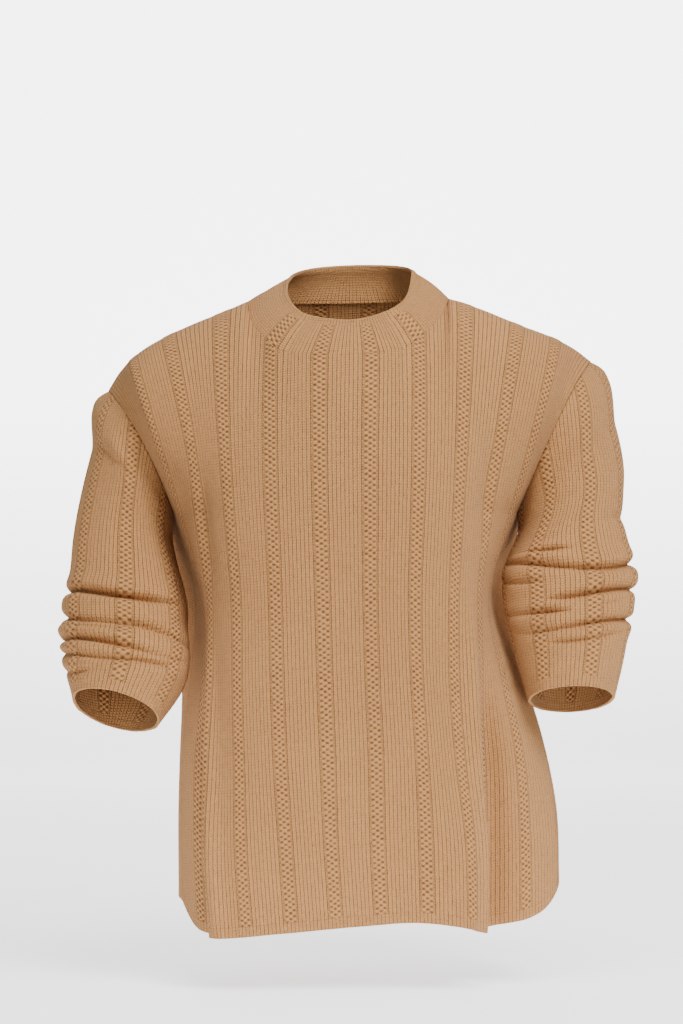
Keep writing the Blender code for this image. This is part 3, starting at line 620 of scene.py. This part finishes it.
class Shader:
    """A material's nodes, made one by one."""

    def __init__(self, name):
        self.material = bpy.data.materials.new(name)
        self.material.use_nodes = True
        self.tree = self.material.node_tree
        self.surface = self.tree.nodes["Principled BSDF"]

    def node(self, kind, settings=None, **inputs):
        node = self.tree.nodes.new(kind)
        for key, value in (settings or {}).items():
            setattr(node, key, value)
        for key, value in inputs.items():
            self.put(node, key.replace("_", " "), value)
        return node

    def put(self, node, name, value):
        if isinstance(value, Maths):
            value = value.socket
        if isinstance(value, bpy.types.NodeSocket):
            self.tree.links.new(value, node.inputs[name])
        else:
            node.inputs[name].default_value = value

    def split(self, vector):
        parts = self.node("ShaderNodeSeparateXYZ", Vector=vector)
        return [Maths(self.tree, socket) for socket in parts.outputs]

    def noise(self, place, scale, detail):
        made = self.node("ShaderNodeTexNoise", Vector=place, Scale=scale, Detail=detail)
        return Maths(self.tree, made.outputs[0])

    def blend(self, share, low, high):
        node = self.node("ShaderNodeMix", {"data_type": "RGBA"})
        for slot, value in ((0, share), (6, low), (7, high)):
            self.put(node, slot, value)
        return node.outputs[2]


# Shaded and lit copies of the camel yarn, each pair in two random tones: the deep and dull ones are
# painted shade for the grooves, the mid and lit ones the yarn as lit on its raised stitches.
YARN_DEEP_PAINTED_SHADE = (0.110, 0.044, 0.013, 1.0)
YARN_PAINTED_SHADE = (0.210, 0.094, 0.032, 1.0)
YARN_MID = (0.450, 0.215, 0.080, 1.0)
YARN_LIT = (0.580, 0.290, 0.112, 1.0)


def knit_wool(name, columns_from, columns_to):
    """Plain knitting with moss-stitch columns, in soft brushed wool.

    The stitch map counts wales and rows, and the seam map says how far off the nearest seam and
    the nearest finished edge are. Columns outside the two given wales are left plain."""
    made = Shader(name)
    stitches = made.split(made.node("ShaderNodeUVMap", {"uv_map": "stitches"}).outputs[0])
    far = made.split(made.node("ShaderNodeUVMap", {"uv_map": "seams"}).outputs[0])
    wales, rows = stitches[0], stitches[1]
    seam, edge = far[0], far[1]
    place = made.node("ShaderNodeTexCoord").outputs["Object"]
    wander = made.noise(place, WANDER_SCALE, 2.0)
    loose = made.noise(place, LOOSE_SCALE, 2.0)
    fibre = made.noise(place, FIBRE_SCALE, 3.0)
    broad = made.noise(place, BROAD_SCALE, 2.0)

    across = wales + (loose - 0.5) * 0.22
    along = rows + (wander - 0.5) * 0.9 + (loose - 0.5) * 0.35
    off = (across.op("FRACT") - 0.5).size()
    leg = 1.0 - ((off - 0.23).size() * 4.0).op("MINIMUM", 1.0).op("POWER", 1.6)
    vee = (along - off * 0.9).wave() * 0.5 + 0.5
    gap = off.over(0.5, 0.38)
    plain = gap * (leg * 0.32 + 0.38) + vee * (gap * 0.32 + 0.04)

    bumps = (across * 0.5).wave() * (along * 0.5).wave() * 0.5 + 0.5
    moss = bumps.over(0.12, 0.8) * 1.15

    from_column = ((wales * (1.0 / WALES)).op("FRACT") - 0.5).size() * WALES
    shown = wales.over(columns_from - 2.5, columns_from - 2.0)
    shown = shown * wales.over(columns_to + 2.5, columns_to + 2.0)
    shown = shown * edge.over(BAND - 0.4, BAND + 0.8)
    in_column = from_column.over(*MOSS_EDGE) * shown
    border = from_column.over(*BORDER_INNER) * from_column.over(*BORDER_OUTER) * shown

    stitch = plain * (1.0 - in_column) + moss * in_column - border * 0.35
    seam_line = seam.over(2.0, 0.3)
    band_line = (edge - BAND).size().over(1.4, 0.2)
    bound = edge.over(3.2, 2.6) * 0.25
    height = stitch + (fibre - 0.5) * 0.5 + (loose - 0.5) * 0.3
    height = height - seam_line * 0.6 - band_line * 0.25 + bound

    bump = made.node("ShaderNodeBump", Height=height, Strength=0.9, Distance=BUMP_HEIGHT)
    shade = (broad - 0.5) * 0.5 + (fibre - 0.5) * 1.9 + 0.5
    # Painted shade and light: the colour goes to the shaded copy of the yarn where the stitches,
    # the seams and the band's line sink in, and to the lit copy on the raised stitches; the loose
    # noise adds tone that differs at random.
    shaded_yarn = made.blend(shade, YARN_DEEP_PAINTED_SHADE, YARN_PAINTED_SHADE)
    light = made.blend(shade, YARN_MID, YARN_LIT)
    lit = stitch * 1.15 + 0.1 - seam_line * 0.3 - band_line * 0.1 + (loose - 0.5) * 0.7
    made.put(made.surface, "Base Color", made.blend(lit.over(0.0, 1.0), shaded_yarn, light))
    made.put(made.surface, "Normal", bump.outputs[0])
    made.put(made.surface, "Roughness", SOFTNESS)
    made.put(made.surface, "Specular IOR Level", 0.08)
    made.put(made.surface, "Sheen Weight", 0.16)
    made.put(made.surface, "Sheen Roughness", 0.4)
    made.put(made.surface, "Sheen Tint", (1.0, 0.80, 0.58, 1.0))
    return made.material


def sheet_from(name, points, normals, stitches, seam, edge, closed, material):
    """A sheet of cloth: a grid moved to these points, made solid inwards."""
    seams = np.stack([seam, edge], axis=2)
    rows, across = points.shape[:2]
    work = bmesh.new()
    bmesh.ops.create_grid(work, x_segments=across - 1, y_segments=rows - 1, size=1.0)
    work.verts.ensure_lookup_table()
    stitch_map = work.loops.layers.uv.new("stitches")
    seam_map = work.loops.layers.uv.new("seams")
    places = {}
    for vert in work.verts:
        i = round((vert.co.x + 1) / 2 * (across - 1))
        j = round((vert.co.y + 1) / 2 * (rows - 1))
        places[vert] = (j, i)
        vert.co = Vector(points[j, i] * MM)
    for face in work.faces:
        for loop in face.loops:
            j, i = places[loop.vert]
            loop[stitch_map].uv = stitches[j, i]
            loop[seam_map].uv = seams[j, i]
    work.normal_update()
    work.faces.ensure_lookup_table()
    middle = work.faces[len(work.faces) // 2]
    j, i = places[middle.loops[0].vert]
    if middle.normal.dot(Vector(normals[j, i])) < 0:
        bmesh.ops.reverse_faces(work, faces=work.faces)
    if closed:
        bmesh.ops.remove_doubles(work, verts=work.verts, dist=0.00002)
    mesh = bpy.data.meshes.new(name)
    work.to_mesh(mesh)
    work.free()
    mesh.shade_smooth()
    mesh.materials.append(material)
    piece = bpy.data.objects.new(name, mesh)
    bpy.context.scene.collection.objects.link(piece)
    solid = piece.modifiers.new("wall", "SOLIDIFY")
    solid.thickness = WALL * MM
    solid.offset = -1.0
    solid.use_rim = True
    solid.use_quality_normals = True
    soft = piece.modifiers.new("soft edge", "BEVEL")
    soft.limit_method = "ANGLE"
    soft.angle_limit = math.radians(55)
    soft.width = EDGE_ROUNDING * MM
    soft.segments = 2
    return piece


def joined(grid):
    """A grid with its first column again after its last, where it closes on itself."""
    return np.concatenate([grid, grid[:, :1]], axis=1)


def lengths_along(points):
    """How far each point is along its own line from the first row, in millimetres."""
    steps = np.linalg.norm(np.diff(points, axis=0), axis=2)
    return np.concatenate([np.zeros((1, points.shape[1])), np.cumsum(steps, axis=0)])


def panel_sheet(name, neck, front, material):
    across, along = PANEL_MESH
    lines = np.linspace(-HALF_PANEL, HALF_PANEL, across + 1)
    ends = np.array([neck[0][0], neck[-1][0]], float)
    for end in ends:
        lines[np.abs(lines - end).argmin()] = end
    low = int(along * BELOW_UNDERARM)
    below = np.linspace(HEM, UNDERARM, low, endpoint=False)
    rows = list(below) + list(np.linspace(0.0, 1.0, along + 1 - low))
    points, normals = panel(lines, rows, neck, front)
    up = lengths_along(points)
    stitches = np.stack([np.broadcast_to(lines / WALE, up.shape), up / ROW], axis=2)
    from_side = HALF_PANEL - np.abs(lines)[None, :] + np.zeros_like(up)
    from_top = up[-1][None, :] - up + SOFT_SEAM
    seam = np.minimum(np.minimum(from_side, from_top), SEAM_FADE)
    edge = np.minimum(up, SEAM_FADE)
    points = points + normals * (COLUMN_RISE * raised_at(lines)[None, :, None])
    return sheet_from(name, points, normals, stitches, seam, edge, False, material)


def raised_at(lines):
    """1 on a moss-stitch column and 0 away from it."""
    off = np.abs(np.mod(lines, COLUMN_PITCH) - COLUMN_PITCH / 2)
    inside = np.abs(lines) < 5 * COLUMN_PITCH
    return smooth((COLUMN_FOOT - off) / (COLUMN_FOOT - COLUMN_TOP)) * inside


def panel_edges(column):
    """The armhole's edge of the front and the back, from the underarm up."""
    lines = np.array([-HALF_PANEL, HALF_PANEL])
    rows = list(np.linspace(0.0, 1.0, EDGE_STEPS))
    front, _, _ = panel_base(lines, rows, FRONT_NECK, True)
    back, _, _ = panel_base(lines, rows, BACK_NECK, False)
    return front[:, column], back[:, column]


def angle_places(facing, girth, angles):
    """Places counted in columns at angles round a sleeve, the other way from sleeve_angles."""
    pitch, rest = column_pitch(girth)
    size = np.abs(angles - facing)
    even = EVEN_COLUMNS * pitch
    place = np.minimum(size, even) / pitch + np.maximum(size - even, 0.0) / rest
    return np.sign(angles - facing) * place


def straight_stitches(rings, facing, points, columns):
    """Places and distances down for points between the armhole and the first whole ring.

    The stitches of the sleeve's top run on straight up to the armhole, which cuts across them."""
    girth = girth_at(rings, LEAVE_RUN)
    outer, front, inner = sleeve_ring(rings, LEAVE_RUN, np.array([0.0, 90.0, 180.0]))
    centre = (outer + inner) / 2
    lower = sleeve_ring(rings, LEAVE_RUN + BELOW_RING, np.array([0.0, 180.0])).mean(axis=0)
    down = unit(lower - centre)
    frame_of_ring = np.linalg.inv(np.stack([outer - centre, front - centre, down]))
    off = points - centre
    shares = off @ frame_of_ring
    angles = np.degrees(np.arctan2(shares[..., 1], shares[..., 0]))
    grid = sleeve_angles(facing, columns, girth)
    angles = grid + np.mod(angles - grid + 180.0, 360.0) - 180.0
    return angle_places(facing, girth, angles), off @ down


def sleeve_sheet(name, rings, creases, facing, column, material):
    across, along = SLEEVE_MESH
    half = SLEEVE_COLUMNS / 2.0
    columns = np.linspace(-half, half, across + 1)
    inner = np.linspace(0.0, LEAVE_RUN, SLEEVE_TOP_STEPS, endpoint=False)
    middle = np.linspace(LEAVE_RUN, BUNCH_BEGINS, SLEEVE_PLAIN_STEPS, endpoint=False)
    rest = np.linspace(BUNCH_BEGINS, SLEEVE_END, along + 1 - len(inner) - len(middle))
    alongs = np.concatenate([inner, middle, rest])
    edges = panel_edges(column)
    points, normals = sleeve_surface(rings, creases, facing, edges, columns[:-1], alongs)
    points, normals = joined(points), joined(normals)
    whole = len(inner)
    plain = joined(sleeve_surface(rings, (), facing, edges, columns[:-1], alongs)[0])
    places = np.broadcast_to(columns, plain.shape[:2]).copy()
    places[:whole + 1], start = straight_stitches(rings, facing, plain[:whole + 1], columns)
    run = np.concatenate([start[:-1], start[-1] + lengths_along(plain[whole:])])
    stitches = np.stack([(places + 0.5) * WALES, -run / ROW], axis=2)
    down = lengths_along(points)
    edge = np.minimum(down[-1][None, :] - down, SEAM_FADE)
    seam = np.minimum(down, SEAM_FADE)
    rise = raised_at(np.mod(places, 1.0) * COLUMN_PITCH + COLUMN_PITCH / 2)
    points = points + normals * (COLUMN_RISE * rise)[..., None]
    return sheet_from(name, points, normals, stitches, seam, edge, True, material)


def collar_sheet(material):
    """The funnel collar: up from the neckline, with its bound-off edge rolled a little."""
    front_points, back_points, along = COLLAR_MESH
    front_lines = np.linspace(FRONT_NECK[0][0], FRONT_NECK[-1][0], front_points)
    back_lines = np.linspace(BACK_NECK[-1][0], BACK_NECK[0][0], back_points)[1:-1]
    low, high = [
        np.concatenate([neck_at(front_lines, FRONT_NECK, k), neck_at(back_lines, BACK_NECK, k)])
        for k in (1, 2)
    ]
    shares = np.concatenate([[-COLLAR_TUCK], np.linspace(0.0, 1.0, along)])
    grid = low[None] + (high - low)[None] * shares[:, None, None]
    normals = normals_of(grid, closed=True)
    rolled = COLLAR_ROLL * np.exp(-(((shares - ROLL_MIDDLE) / ROLL_HALF_WIDTH) ** 2))
    tucked = np.where(shares < 0, COLLAR_TUCKED_IN, 0.0)
    bulge = COLLAR_BULGE * np.sin(np.pi * np.maximum(shares, 0.0)) + rolled - tucked
    grid = grid + normals * bulge[:, None, None]
    grid, normals = joined(grid), joined(normals)
    up = lengths_along(grid)
    up = up - up[1]
    run = np.concatenate([[0.0], np.cumsum(np.linalg.norm(np.diff(grid[1], axis=0), axis=1))])
    begin, end = np.interp((-COLLAR_LINED, COLLAR_LINED), front_lines, run[:len(front_lines)])
    over = np.concatenate([front_lines, np.full(len(run) - len(front_lines), 2.0 * HALF_PANEL)])
    run = np.where(over < 0, run - begin - COLLAR_LINED, run - end + COLLAR_LINED)
    run = np.where(np.abs(over) < COLLAR_LINED, over, run)
    stitches = np.stack([np.broadcast_to(run / WALE, up.shape), up / ROW], axis=2)
    seam = np.clip(up + SOFT_SEAM, SOFT_SEAM, SEAM_FADE)
    edge = np.minimum(up[-1][None, :] - up, SEAM_FADE)
    return sheet_from("collar_cloth", grid, normals, stitches, seam, edge, True, material)


def softbox(name, place, aim, size, power):
    light = bpy.data.lights.new(name, "AREA")
    light.shape = "RECTANGLE"
    light.size, light.size_y = size
    light.energy = power
    lamp = bpy.data.objects.new(name, light)
    lamp.location = place
    lamp.rotation_euler = (Vector(aim) - Vector(place)).to_track_quat("-Z", "Y").to_euler()
    bpy.context.scene.collection.objects.link(lamp)


def studio():
    """A seamless pale sweep that glows as painted light, soft light in front and a soft edge light
    on each side behind.
    """
    work = bmesh.new()
    bmesh.ops.create_grid(work, x_segments=1, y_segments=SWEEP_STEPS, size=1.0)
    bent = FLOOR_SHARE + BEND_SHARE
    for vert in work.verts:
        t = (vert.co.y + 1) / 2
        bend = min(max((t - FLOOR_SHARE) / BEND_SHARE, 0.0), 1.0) * math.pi / 2
        flat = min(t / FLOOR_SHARE, 1.0)
        wall = max((t - bent) / (1 - bent), 0.0)
        vert.co = Vector((
            vert.co.x * SWEEP_HALF_WIDTH,
            SWEEP_FRONT + SWEEP_FLOOR * flat + math.sin(bend) * SWEEP_BEND,
            FLOOR + (1 - math.cos(bend)) * SWEEP_BEND + wall * SWEEP_WALL,
        ))
    mesh = bpy.data.meshes.new("sweep")
    work.to_mesh(mesh)
    work.free()
    mesh.shade_smooth()
    paint = Shader("glowing pale paper")
    paint.put(paint.surface, "Base Color", PAPER)
    paint.put(paint.surface, "Roughness", 0.9)
    height = paint.split(paint.node("ShaderNodeTexCoord").outputs["Object"])[2]
    risen = height.over(FLOOR + GLOW_FROM, FLOOR + GLOW_TO)
    glow = paint.blend(risen, GLOW_AT_FLOOR, GLOW_ON_WALL)
    # Painted light: the sweep emits, dimmer at the floor and full on the wall.
    paint.put(paint.surface, "Emission Color", glow)
    paint.put(paint.surface, "Emission Strength", GLOW)
    mesh.materials.append(paint.material)
    sweep = bpy.data.objects.new("sweep", mesh)
    bpy.context.scene.collection.objects.link(sweep)
    world = bpy.data.worlds.new("studio")
    bpy.context.scene.world = world
    world.use_nodes = True
    sky = world.node_tree.nodes["Background"]
    sky.inputs[0].default_value = (1.0, 1.0, 1.0, 1.0)
    sky.inputs[1].default_value = WORLD_LIGHT
    for lamp in LAMPS:
        softbox(*lamp)


def camera():
    data = bpy.data.cameras.new("camera")
    data.sensor_width = 36.0
    data.lens = LENS
    data.dof.use_dof = False
    view = bpy.data.objects.new("camera", data)
    view.location = (CAMERA_RIGHT, -CAMERA_AWAY, CAMERA_UP)
    view.rotation_euler = (math.radians(90.0 + CAMERA_PITCH), 0.0, 0.0)
    bpy.context.scene.collection.objects.link(view)
    bpy.context.scene.camera = view


def dress():
    camera()
    studio()
    body_wool = knit_wool("camel wool, body", -54.0, 54.0)
    sleeve_wool = knit_wool("camel wool, sleeves", -30.0, 42.0)
    collar_wool = knit_wool("camel wool, collar", -20.0, 20.0)
    front = panel_sheet("front_cloth", FRONT_NECK, True, body_wool)
    back = panel_sheet("back_cloth", BACK_NECK, False, body_wool)
    left = sleeve_sheet(
        "sleeve_left_cloth", LEFT_RINGS, LEFT_CREASES, LEFT_FACING, 0, sleeve_wool
    )
    right = sleeve_sheet(
        "sleeve_right_cloth", RIGHT_RINGS, RIGHT_CREASES, RIGHT_FACING, -1, sleeve_wool
    )
    collar = collar_sheet(collar_wool)
    cuts = (
        (front, "front", (0.55, 0.66), 0.325),
        (back, "back", (0.55, 0.70), 0.35),
        (left, "sleeve_left", (0.34, 0.36), 0.110),
        (right, "sleeve_right", (0.34, 0.36), 0.110),
        (collar, "collar", (0.54, 0.05), 0.024),
    )
    for piece, node, flat, area in cuts:
        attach(piece, "root")
        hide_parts(node)


dress()
